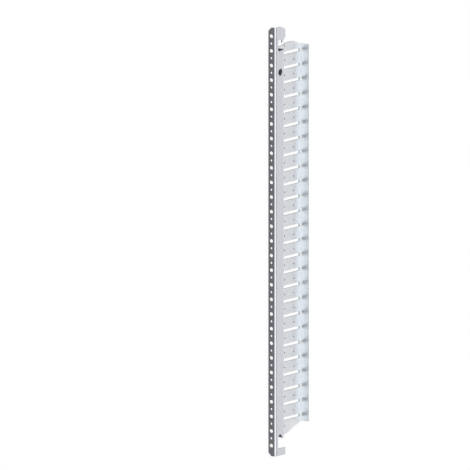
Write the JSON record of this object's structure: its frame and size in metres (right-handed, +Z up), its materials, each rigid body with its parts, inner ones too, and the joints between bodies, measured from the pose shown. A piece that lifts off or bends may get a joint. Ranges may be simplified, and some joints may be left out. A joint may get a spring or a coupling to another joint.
{
  "type": "rack mounting rail",
  "caption": "Long folded sheet-steel rack rail with a punched mounting flange, a slotted side plate and hook ends.",
  "frame": {"origin": "on the floor under the middle of the rail's box, as it lies on its slotted plate", "axes": "+X from the mounting flange to the rear flange, +Y along the rail to its hook head, +Z up, to the outside of the side wall"},
  "size_m": [0.205, 1.466, 0.0388],
  "materials": {
    "zinc_plated_steel": "bright zinc plate, cool light grey, semi-gloss"
  },
  "bodies": {
    "root": {"mounting_rail": "zinc_plated_steel"}
  },
  "joints": []
}
